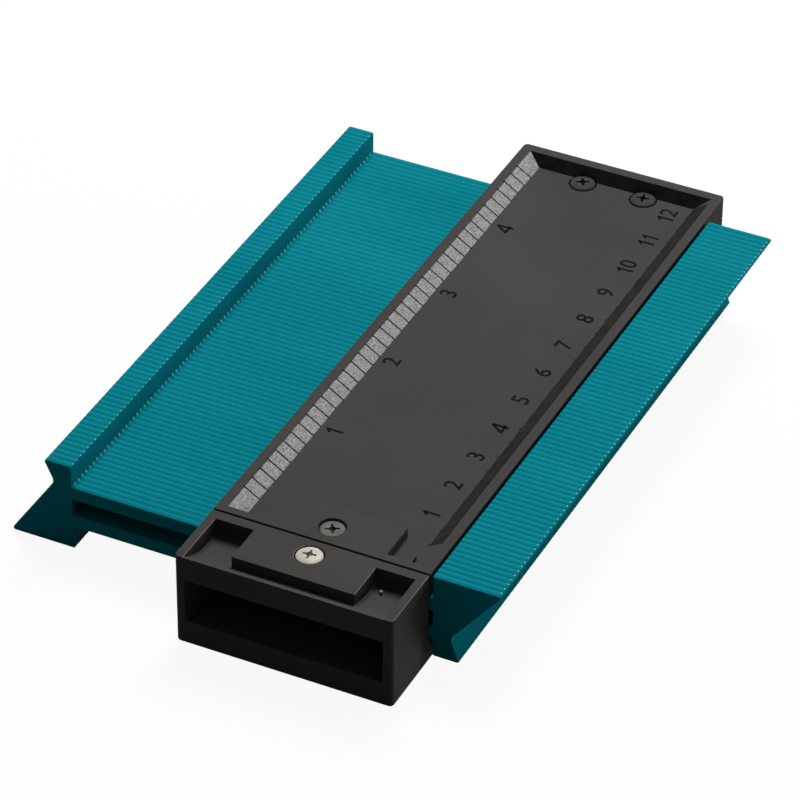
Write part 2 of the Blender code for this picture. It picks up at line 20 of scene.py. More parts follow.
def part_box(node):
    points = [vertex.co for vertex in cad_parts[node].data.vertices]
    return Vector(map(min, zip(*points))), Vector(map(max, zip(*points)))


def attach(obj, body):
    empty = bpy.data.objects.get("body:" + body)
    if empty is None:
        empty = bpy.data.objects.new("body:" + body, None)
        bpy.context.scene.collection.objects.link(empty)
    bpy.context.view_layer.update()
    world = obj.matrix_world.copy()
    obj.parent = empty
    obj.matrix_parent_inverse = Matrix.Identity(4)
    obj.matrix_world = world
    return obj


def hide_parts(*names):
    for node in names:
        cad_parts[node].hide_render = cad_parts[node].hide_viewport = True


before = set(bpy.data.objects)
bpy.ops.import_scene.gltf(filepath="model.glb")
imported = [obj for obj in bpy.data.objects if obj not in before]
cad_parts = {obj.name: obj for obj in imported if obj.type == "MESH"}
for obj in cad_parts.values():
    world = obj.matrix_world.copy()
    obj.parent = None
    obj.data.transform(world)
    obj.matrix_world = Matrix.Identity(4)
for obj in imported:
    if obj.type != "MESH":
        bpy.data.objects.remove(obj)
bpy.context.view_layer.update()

LOG = logging.getLogger("contour_gauge")
BODY = "body"

COARSE_GRAIN_SCALE = 240.0
FINE_DETAIL = 3.0
COARSE_DETAIL = 2.0
COARSE_SHARE = 0.35
TONE_DETAIL = 4.0
NOISE_LOW = 0.3
NOISE_HIGH = 0.7
BUMP_DISTANCE = 0.00002

MERGE_DISTANCE = 0.000001
FLAT_ANGLE = math.radians(0.5)
SMOOTH_ANGLE = math.radians(32)
ROUNDED_ANGLE = math.radians(38)
EDGE_LEAN = 0.25
CAP_LEAN = 0.99
ROUND_STEPS = 40

SHANK_RADIUS = 0.0012
SHANK_TIP = 0.001
DOME_SHARE = 0.38

Profile = list[tuple[float, float]]
Stroke = tuple[float, float, float, float]


class Side(Enum):
    """The two long sides of the ruled field."""

    INCH = -1
    METRIC = 1


# ---- shared shader groups


def group_socket(group: bpy.types.NodeTree, name: str, way: str, kind: str,
                 value: float | None = None) -> None:
    """Add one named socket to a shader group.

    Args:
        group: The node group.
        name: The socket's name.
        way: "INPUT" or "OUTPUT".
        kind: The socket's type.
        value: The default value of an input.
    """
    socket = group.interface.new_socket(name=name, in_out=way, socket_type=kind)
    if value is not None:
        socket.default_value = value


def make_grain_group() -> bpy.types.NodeTree:
    """Build the fine moulded grain: a height for bump and a mask for gloss.

    Returns:
        The node group.
    """
    group = bpy.data.node_groups.new("moulded_grain", "ShaderNodeTree")
    group_socket(group, "Vector", "INPUT", "NodeSocketVector")
    group_socket(group, "Scale", "INPUT", "NodeSocketFloat")
    group_socket(group, "Coarse Scale", "INPUT", "NodeSocketFloat", COARSE_GRAIN_SCALE)
    group_socket(group, "Height", "OUTPUT", "NodeSocketFloat")
    group_socket(group, "Mask", "OUTPUT", "NodeSocketFloat")
    nodes, links = group.nodes, group.links
    source = nodes.new("NodeGroupInput")
    result = nodes.new("NodeGroupOutput")
    fine = nodes.new("ShaderNodeTexNoise")
    fine.inputs["Detail"].default_value = FINE_DETAIL
    coarse = nodes.new("ShaderNodeTexNoise")
    coarse.inputs["Detail"].default_value = COARSE_DETAIL
    blend = nodes.new("ShaderNodeMath")
    blend.operation = "MULTIPLY_ADD"
    blend.inputs[1].default_value = COARSE_SHARE
    links.new(source.outputs["Vector"], fine.inputs["Vector"])
    links.new(source.outputs["Scale"], fine.inputs["Scale"])
    links.new(source.outputs["Vector"], coarse.inputs["Vector"])
    links.new(source.outputs["Coarse Scale"], coarse.inputs["Scale"])
    links.new(coarse.outputs["Fac"], blend.inputs[0])
    links.new(fine.outputs["Fac"], blend.inputs[2])
    links.new(blend.outputs["Value"], result.inputs["Height"])
    links.new(coarse.outputs["Fac"], result.inputs["Mask"])
    return group


def make_tone_group() -> bpy.types.NodeTree:
    """Build the slow drift between two tones that a moulded or printed surface shows.

    Returns:
        The node group.
    """
    group = bpy.data.node_groups.new("tone_drift", "ShaderNodeTree")
    group_socket(group, "Vector", "INPUT", "NodeSocketVector")
    group_socket(group, "Scale", "INPUT", "NodeSocketFloat")
    group_socket(group, "Dark", "INPUT", "NodeSocketColor")
    group_socket(group, "Light", "INPUT", "NodeSocketColor")
    group_socket(group, "Color", "OUTPUT", "NodeSocketColor")
    nodes, links = group.nodes, group.links
    source = nodes.new("NodeGroupInput")
    result = nodes.new("NodeGroupOutput")
    noise = nodes.new("ShaderNodeTexNoise")
    noise.inputs["Detail"].default_value = TONE_DETAIL
    spread = nodes.new("ShaderNodeMapRange")
    spread.inputs["From Min"].default_value = NOISE_LOW
    spread.inputs["From Max"].default_value = NOISE_HIGH
    mix = nodes.new("ShaderNodeMix")
    mix.data_type = "RGBA"
    links.new(source.outputs["Vector"], noise.inputs["Vector"])
    links.new(source.outputs["Scale"], noise.inputs["Scale"])
    links.new(noise.outputs["Fac"], spread.inputs["Value"])
    links.new(spread.outputs["Result"], mix.inputs["Factor"])
    links.new(source.outputs["Dark"], mix.inputs["A"])
    links.new(source.outputs["Light"], mix.inputs["B"])
    links.new(mix.outputs["Result"], result.inputs["Color"])
    return group


@dataclass(frozen=True)
class Finish:
    """One surface finish, made from the two shared groups and a Principled shader."""

    name: str
    dark: tuple[float, float, float]
    light: tuple[float, float, float]
    tone_scale: float
    roughness: tuple[float, float]
    grain_scale: float
    bump: float
    stretch: tuple[float, float, float] = (1.0, 1.0, 1.0)
    metallic: float = 0.0
    specular: float = 0.5

    def build(self, groups: dict[str, bpy.types.NodeTree]) -> bpy.types.Material:
        """Make the material.

        Args:
            groups: The shared shader groups by name.

        Returns:
            The finished material.
        """
        material = bpy.data.materials.new(self.name)
        material.use_nodes = True
        nodes, links = material.node_tree.nodes, material.node_tree.links
        shader = nodes["Principled BSDF"]
        shader.inputs["Metallic"].default_value = self.metallic
        shader.inputs["Specular IOR Level"].default_value = self.specular
        place = nodes.new("ShaderNodeTexCoord")
        turn = nodes.new("ShaderNodeMapping")
        turn.inputs["Scale"].default_value = self.stretch
        grain = nodes.new("ShaderNodeGroup")
        grain.node_tree = groups["grain"]
        grain.inputs["Scale"].default_value = self.grain_scale
        tone = nodes.new("ShaderNodeGroup")
        tone.node_tree = groups["tone"]
        tone.inputs["Scale"].default_value = self.tone_scale
        tone.inputs["Dark"].default_value = (*self.dark, 1.0)
        tone.inputs["Light"].default_value = (*self.light, 1.0)
        gloss = nodes.new("ShaderNodeMapRange")
        gloss.inputs["From Min"].default_value = NOISE_LOW
        gloss.inputs["From Max"].default_value = NOISE_HIGH
        gloss.inputs["To Min"].default_value = self.roughness[0]
        gloss.inputs["To Max"].default_value = self.roughness[1]
        relief = nodes.new("ShaderNodeBump")
        relief.inputs["Strength"].default_value = self.bump
        relief.inputs["Distance"].default_value = BUMP_DISTANCE
        links.new(place.outputs["Object"], turn.inputs["Vector"])
        links.new(turn.outputs["Vector"], grain.inputs["Vector"])
        links.new(turn.outputs["Vector"], tone.inputs["Vector"])
        links.new(tone.outputs["Color"], shader.inputs["Base Color"])
        links.new(grain.outputs["Mask"], gloss.inputs["Value"])
        links.new(gloss.outputs["Result"], shader.inputs["Roughness"])
        links.new(grain.outputs["Height"], relief.inputs["Height"])
        links.new(relief.outputs["Normal"], shader.inputs["Normal"])
        return material


FINISHES = {
    "charcoal": Finish(
        "charcoal_plastic", dark=(0.0575, 0.0555, 0.0526), light=(0.0670, 0.0648, 0.0614),
        tone_scale=45.0, roughness=(0.52, 0.58), grain_scale=3200.0, bump=0.10, specular=0.012),
    # Lighter charcoal on edges facing +X and up: a painted highlight.
    "edge": Finish(
        "charcoal_painted_edge_highlight", dark=(0.13, 0.128, 0.124), light=(0.20, 0.197, 0.191),
        tone_scale=700.0, roughness=(0.45, 0.55), grain_scale=3200.0, bump=0.10, specular=0.05),
    "teal": Finish(
        "teal_plastic", dark=(0.0030, 0.218, 0.270), light=(0.0050, 0.252, 0.312),
        tone_scale=55.0, roughness=(0.40, 0.48), grain_scale=1400.0, bump=0.06,
        stretch=(0.25, 1.0, 1.0), specular=0.003),
    # Pale teal at the fingers' corners: a painted highlight.
    "glint": Finish(
        "teal_painted_glint", dark=(0.12, 0.52, 0.56), light=(0.22, 0.66, 0.70),
        tone_scale=600.0, roughness=(0.25, 0.35), grain_scale=1400.0, bump=0.05, specular=0.02),
    "silver": Finish(
        "silver_foil", dark=(0.13, 0.13, 0.1275), light=(0.43, 0.428, 0.421),
        tone_scale=2300.0, roughness=(0.45, 0.65), grain_scale=3000.0, bump=0.45, specular=0.3),
    "graduation": Finish(
        "graduation_ink", dark=(0.015, 0.0145, 0.0125), light=(0.026, 0.025, 0.022),
        tone_scale=500.0, roughness=(0.60, 0.75), grain_scale=2400.0, bump=0.20, specular=0.02),
    # Near-black ink: print on the numerals, painted shade on the far slope and in the cover
    # screws' recesses.
    "numeral": Finish(
        "numeral_ink_and_painted_shade", dark=(0.008, 0.007, 0.006), light=(0.014, 0.013, 0.011),
        tone_scale=400.0, roughness=(0.60, 0.75), grain_scale=2400.0, bump=0.20, specular=0.01),
    # Pale grey on the sprue nub: a painted highlight.
    "gate": Finish(
        "gate_painted_highlight", dark=(0.22, 0.215, 0.205), light=(0.42, 0.41, 0.39),
        tone_scale=900.0, roughness=(0.45, 0.60), grain_scale=2000.0, bump=0.30, specular=0.3),
    "black": Finish(
        "black_oxide", dark=(0.046, 0.045, 0.043), light=(0.058, 0.056, 0.053),
        tone_scale=300.0, roughness=(0.48, 0.60), grain_scale=2200.0, bump=0.15, specular=0.03),
    "grey": Finish(
        "dull_zinc", dark=(0.105, 0.105, 0.095), light=(0.16, 0.16, 0.147),
        tone_scale=500.0, roughness=(0.50, 0.62), grain_scale=2000.0, bump=0.20, metallic=0.1,
        specular=0.06),
    "bright": Finish(
        "bright_nickel", dark=(0.52, 0.495, 0.43), light=(0.70, 0.67, 0.60),
        tone_scale=450.0, roughness=(0.50, 0.62), grain_scale=1800.0, bump=0.12, metallic=0.04,
        specular=0.06),
    # Brown tarnish in the bright screw's recess, darkened further as painted shade.
    "tarnish_and_shade": Finish(
        "tarnish_and_painted_recess_shade", dark=(0.17, 0.145, 0.08), light=(0.30, 0.26, 0.155),
        tone_scale=600.0, roughness=(0.50, 0.62), grain_scale=1800.0, bump=0.20, metallic=0.2,
        specular=0.1),
    "steel": Finish(
        "drawn_steel", dark=(0.36, 0.36, 0.35), light=(0.50, 0.50, 0.49),
        tone_scale=200.0, roughness=(0.28, 0.42), grain_scale=900.0, bump=0.30,
        stretch=(8.0, 0.15, 8.0), metallic=1.0),
    "felt": Finish(
        "pressed_felt", dark=(0.020, 0.020, 0.020), light=(0.050, 0.050, 0.050),
        tone_scale=900.0, roughness=(0.90, 1.0), grain_scale=1600.0, bump=0.90, specular=0.1),
}


# ---- mesh helpers


def new_object(name: str, data: bpy.types.ID) -> bpy.types.Object:
    """Make an object at the origin and link it to the scene.

    Args:
        name: The object's name.
        data: Its mesh, text, camera or lamp.

    Returns:
        The new object.
    """
    made = bpy.data.objects.new(name, data)
    bpy.context.scene.collection.objects.link(made)
    return made


def add_piece(name: str, shape: bmesh.types.BMesh, material: bpy.types.Material,
              body: str, replaced: tuple[str, ...] = (),
              second: bpy.types.Material | None = None,
              even_faces: bool = False) -> None:
    """Turn a bmesh into a finished piece that rides on a body.

    Args:
        name: The piece's name.
        shape: The shape, which is freed.
        material: Its finish.
        body: The CAD body it rides on.
        replaced: The CAD nodes it stands for.
        second: The finish of the faces marked 1.
        even_faces: Whether large flat faces keep their own direction in the shading.
    """
    bmesh.ops.recalc_face_normals(shape, faces=shape.faces)
    mesh = bpy.data.meshes.new(name)
    shape.to_mesh(mesh)
    shape.free()
    mesh.materials.append(material)
    if second:
        mesh.materials.append(second)
    mesh.shade_smooth()
    mesh.set_sharp_from_angle(angle=SMOOTH_ANGLE)
    piece = new_object(name, mesh)
    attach(piece, body)
    if replaced:
        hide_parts(*replaced)
    if even_faces:
        modifier = piece.modifiers.new("even_faces", "WEIGHTED_NORMAL")
        modifier.keep_sharp = True
    LOG.info("%s: %d faces, rides on %s", name, len(mesh.polygons), body)


def bevelled(shape: bmesh.types.BMesh, items: list[bmesh.types.BMEdge | bmesh.types.BMVert],
             width: float, segments: int, affect: str = "EDGES") -> list[bmesh.types.BMFace]:
    """Return the new faces of a rounding of the given edges or corners."""
    return bmesh.ops.bevel(shape, geom=items, offset=width, segments=segments, profile=0.5,
                           affect=affect, clamp_overlap=True, material=-1)["faces"]


def softened_node(node: str, width: float, segments: int) -> bmesh.types.BMesh:
    """Copy a CAD node's mesh, merge it and round its edges.

    Args:
        node: The CAD node.
        width: The rounding's width.
        segments: The rounding's segments.

    Returns:
        The rounded shape, its roundings towards +X and up marked for a lighter finish that paints
        in a highlight.
    """
    shape = bmesh.new()
    shape.from_mesh(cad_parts[node].data)
    bmesh.ops.remove_doubles(shape, verts=shape.verts, dist=MERGE_DISTANCE)
    bmesh.ops.dissolve_limit(shape, angle_limit=FLAT_ANGLE,
                             verts=shape.verts, edges=shape.edges)
    edges = [edge for edge in shape.edges if edge.calc_face_angle(0.0) > ROUNDED_ANGLE]
    rounded = bevelled(shape, edges, width, segments)
    bmesh.ops.recalc_face_normals(shape, faces=shape.faces)
    # Roundings that face +X and up take the lighter finish: a painted highlight.
    for face in rounded:
        if face.normal.x > EDGE_LEAN and face.normal.z > EDGE_LEAN:
            face.material_index = 1
    return shape


def evaluated_shape(holder: bpy.types.Object) -> bmesh.types.BMesh:
    """Copy an object's evaluated mesh.

    Args:
        holder: The object, with its modifiers or text.

    Returns:
        The shape, with its doubled corners merged.
    """
    evaluated = holder.evaluated_get(bpy.context.evaluated_depsgraph_get())
    shape = bmesh.new()
    shape.from_mesh(evaluated.to_mesh())
    evaluated.to_mesh_clear()
    bmesh.ops.remove_doubles(shape, verts=shape.verts, dist=MERGE_DISTANCE)
    return shape


def difference(shape: bmesh.types.BMesh, tool: bmesh.types.BMesh) -> bmesh.types.BMesh:
    """Take one tool's volume out of a shape.

    Args:
        shape: The shape to carve, which is freed.
        tool: The tool, which is freed.

    Returns:
        The carved shape.
    """
    holders = []
    for item in (shape, tool):
        bmesh.ops.recalc_face_normals(item, faces=item.faces)
        mesh = bpy.data.meshes.new("carving")
        # Without two slots the faces would lose their material numbers.
        mesh.materials.append(None)
        mesh.materials.append(None)
        item.to_mesh(mesh)
        item.free()
        holders.append(new_object("carving", mesh))
    modifier = holders[0].modifiers.new("carve", "BOOLEAN")
    modifier.operation = "DIFFERENCE"
    modifier.solver = "EXACT"
    modifier.object = holders[1]
    result = evaluated_shape(holders[0])
    for holder in holders:
        bpy.data.meshes.remove(holder.data)
    return result


def carved(shape: bmesh.types.BMesh, *tools: bmesh.types.BMesh,
           mark: int = 0) -> bmesh.types.BMesh:
    """Take each tool's volume out of a shape, one after the other.

    Args:
        shape: The shape to carve, which is freed.
        tools: The tools, which are freed.
        mark: The material number of the carved faces.

    Returns:
        The carved shape.
    """
    for tool in tools:
        for face in tool.faces:
            face.material_index = mark
        shape = difference(shape, tool)
    return shape


def joined(shapes: list[bmesh.types.BMesh]) -> bmesh.types.BMesh:
    """Collect several shapes in one.

    Args:
        shapes: The shapes, which are freed.

    Returns:
        The shape that holds them all.
    """
    whole = bmesh.new()
    for shape in shapes:
        holder = bpy.data.meshes.new("joining")
        shape.to_mesh(holder)
        shape.free()
        whole.from_mesh(holder)
        bpy.data.meshes.remove(holder)
    return whole


def slab(middle: Vector, axes: Matrix, size: Vector) -> bmesh.types.BMesh:
    """Build a box about a point.

    Args:
        middle: The point.
        axes: The directions of the box's edges, as rows.
        size: The lengths along them.

    Returns:
        The box.
    """
    place = (Matrix.Translation(middle) @ axes.transposed().to_4x4()
             @ Matrix.Diagonal((*size, 1.0)))
    shape = bmesh.new()
    bmesh.ops.create_cube(shape, size=1.0, matrix=place)
    return shape


def block(low: tuple[float, float, float], high: tuple[float, float, float]) -> bmesh.types.BMesh:
    """Return a box between two corners."""
    near, far = Vector(low), Vector(high)
    return slab((near + far) / 2, Matrix.Identity(3), far - near)


def trim(shape: bmesh.types.BMesh, corner: Vector, run: Vector, kept: Vector) -> None:
    """Cut a band along the mitre where two slopes meet.

    Args:
        shape: The band, which is changed.
        corner: Where the mitre starts at the rim.
        run: The mitre's way across the body.
        kept: A point on the side that stays.
    """
    outward = run.cross(Vector((0, 0, 1)))
    if outward.dot(kept - corner) > 0:
        outward.negate()
    everything = shape.verts[:] + shape.edges[:] + shape.faces[:]
    cut = bmesh.ops.bisect_plane(shape, geom=everything, plane_co=corner,
                                 plane_no=outward, clear_outer=True)
    rim = [item for item in cut["geom_cut"] if isinstance(item, bmesh.types.BMEdge)]
    bmesh.ops.edgenet_fill(shape, edges=rim)


# ---- fingers


@dataclass(frozen=True)
class FingerHalf:
    """What differs between a finger's two halves: the raised block and the notch beside it."""

    width: float
    drop: float
    neck_width: float
    notch_drop: float
    outer_round: float


@dataclass
class FingerStack:
    """The thin sliding fingers, each a separate flat moulding."""

    count: int = 89
    per_group: int = 3
    pitch: float = 0.001440
    play: float = 0.000012
    inner_span: float = 0.0756
    span_ease: float = 0.00025
    half_height: float = 0.0099
    half_bar: float = 0.0048
    half_slot: float = 0.00185
    ridge: FingerHalf = FingerHalf(width=0.0059, drop=0.00035, neck_width=0.0037,
                                   notch_drop=0.00513, outer_round=0.0009)
    heel: FingerHalf = FingerHalf(width=0.0052, drop=0.00105, neck_width=0.0033,
                                  notch_drop=0.00635, outer_round=0.0006)
    toe_length: float = 0.0133
    toe_nose: float = 0.0007
    toe_inset: float = 0.0004
    inner_round: float = 0.0003
    brow_round: float = 0.0004
    notch_round: float = 0.0008
    nose_round: float = 0.0004
    tip_round: float = 0.0002
    sole_round: float = 0.0001
    corner_segments: int = 3
    crown_fall: float = 0.00022
    crown_width: float = 0.00042
    glint_inset: float = 0.0001
    glint_reach: float = 0.00032

    def half_outline(self, half: FingerHalf) -> list[tuple[float, float, float]]:
        """Draw the left half of the outline as seen along Y.

        Args:
            half: The sizes of the block and the notch.

        Returns:
            Each corner's X, Z and rounding, from the block's inner foot round to the rail.
        """
        span = self.inner_span / 2
        block_top = self.half_height - half.drop
        toe_x = -span - self.toe_length
        return [
            (-span, self.half_bar, self.inner_round),
            (-span, block_top, self.brow_round),
            (-span - half.width, block_top, half.outer_round),
            (-span - half.neck_width, self.half_height - half.notch_drop, self.notch_round),
            (toe_x, -self.half_height + self.toe_nose, self.nose_round),
            (toe_x + self.toe_inset, -self.half_height, self.tip_round),
            (-span, -self.half_height, self.sole_round),
            (-span, -self.half_bar, self.inner_round),
        ]

    def outline(self) -> list[tuple[float, float, float]]:
        """Draw the whole outline: the ridge's half, then the heel's half turned round.

        Returns:
            Each corner's X, Z and rounding.
        """
        heel = [(-x, -z, rounding) for x, z, rounding in self.half_outline(self.heel)]
        inner_x = self.inner_span / 2
        heel = [(x - self.span_ease if x < inner_x + MERGE_DISTANCE else x, z, rounding)
                for x, z, rounding in heel]
        return self.half_outline(self.ridge) + heel

    def rounded_plate(self) -> bmesh.types.BMesh:
        """Round the outline's corners and give it an even thickness.

        Returns:
            The plate.
        """
        thickness = self.pitch - self.play
        shape = bmesh.new()
        corners = [(shape.verts.new((x, -thickness / 2, z)), rounding)
                   for x, z, rounding in self.outline()]
        shape.faces.new([vert for vert, _ in corners])
        for vert, rounding in corners:
            bevelled(shape, [vert], rounding, self.corner_segments, "VERTICES")
        raised = bmesh.ops.extrude_face_region(shape, geom=shape.faces[:])
        moved = [item for item in raised["geom"] if isinstance(item, bmesh.types.BMVert)]
        bmesh.ops.translate(shape, vec=(0.0, thickness, 0.0), verts=moved)
        bmesh.ops.recalc_face_normals(shape, faces=shape.faces)
        return shape

    def one_finger(self) -> bmesh.types.BMesh:
        """Build one finger about its own centre.

        Returns:
            The finger, crowned on top and below, with its slot and pale faces at its corners that
            paint in a highlight.
        """
        shape = self.rounded_plate()
        caps = [face for face in shape.faces if abs(face.normal.y) > CAP_LEAN]
        bmesh.ops.inset_region(shape, faces=caps, thickness=self.crown_fall, use_even_offset=True)
        inner = {vert for face in caps for vert in face.verts}
        for vert in inner:
            rim = next(edge.other_vert(vert) for edge in vert.link_edges
                       if edge.other_vert(vert) not in inner)
            vert.co.x = rim.co.x
        for vert in shape.verts:
            if vert not in inner:
                vert.co.y -= math.copysign(self.crown_width, vert.co.y)
        span = self.inner_span / 2
        finger = carved(shape, block((-span, -self.pitch, -self.half_slot),
                                     (span - self.span_ease, self.pitch, self.half_slot)))
        foot = Vector((-span + self.glint_inset, self.half_bar + self.glint_inset))
        brow = Vector((-span, self.half_height - self.ridge.drop))
        tip = Vector((span + self.toe_length - self.toe_inset, self.half_height))
        crown_start = self.pitch / 2 - self.crown_width
        # Faces near the foot, the brow and the tip take the pale finish: a painted highlight.
        for face in finger.faces:
            middle = face.calc_center_median()
            near = min((middle.xz - corner).length for corner in (foot, brow, tip))
            if near < self.glint_reach and middle.y > crown_start:
                face.material_index = 1
        return finger

    def build(self, material: bpy.types.Material, glint: bpy.types.Material) -> None:
        """Lay the fingers side by side in the groups that slide together.

        Args:
            material: The fingers' finish.
            glint: The pale finish of the faces at their corners, a painted highlight.
        """
        low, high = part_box("finger_group_01")
        middle = (low + high) / 2
        start_y = middle.y - self.per_group * self.pitch / 2
        template = bpy.data.meshes.new("finger_template")
        finger = self.one_finger()
        finger.to_mesh(template)
        finger.free()
        groups = math.ceil(self.count / self.per_group)
        for index in range(groups):
            first = index * self.per_group
            shape = bmesh.new()
            for number in range(first, min(first + self.per_group, self.count)):
                before = len(shape.verts)
                shape.from_mesh(template)
                shape.verts.ensure_lookup_table()
                centre_y = start_y + (number + 0.5) * self.pitch
                bmesh.ops.translate(shape, vec=(middle.x, centre_y, middle.z),
                                    verts=shape.verts[before:])
            body = f"fingers_{index + 1:02d}"
            add_piece(f"{body}_moulded", shape, material, body,
                      (f"finger_group_{index + 1:02d}",), glint)
        bpy.data.meshes.remove(template)


# ---- body


@dataclass
class Housing:
    """The base moulding with its end block, and the ruled cover plate."""

    edge_round: float = 0.00018
    segments: int = 2
    mark_place: tuple[float, float, float] = (0.01472, -0.06598, 0.01690)
    mark_radius: float = 0.00038
    mark_height: float = 0.00045
    mark_lean: float = 0.25
    mark_segments: int = 14
    mark_taper: float = 0.55
    mark_round: float = 0.2

    def sprue_mark(self) -> bmesh.types.BMesh:
        """Build the small nub that the moulding leaves in the right scoop, its pale finish a
        painted highlight.

        Returns:
            The nub in its place.
        """
        shape = bmesh.new()
        place = Matrix.Translation(self.mark_place) @ Matrix.Rotation(self.mark_lean, 4, "X")
        bmesh.ops.create_cone(shape, cap_ends=True, segments=self.mark_segments,
                              radius1=self.mark_radius,
                              radius2=self.mark_radius * self.mark_taper,
                              depth=self.mark_height, matrix=place)
        rim = [edge for edge in shape.edges if edge.calc_face_angle(0.0) > SMOOTH_ANGLE]
        bevelled(shape, rim, self.mark_radius * self.mark_round, self.segments)
        return shape

    def build(self, material: bpy.types.Material, edge: bpy.types.Material,
              gate: bpy.types.Material) -> None:
        """Round the two mouldings' edges and add the sprue mark.

        Args:
            material: The body's finish.
            edge: The lighter finish of the base moulding's edges towards +X and up, a painted
                highlight.
            gate: The sprue mark's pale finish, a painted highlight.
        """
        for node, name, edge_finish in (("base_housing", "base_moulding", edge),
                                 ("ruler_cover", "cover_plate", material)):
            shape = softened_node(node, self.edge_round, self.segments)
            add_piece(name, shape, material, BODY, (node,), edge_finish, even_faces=True)
        add_piece("sprue_mark", self.sprue_mark(), gate, BODY)


# ---- scales


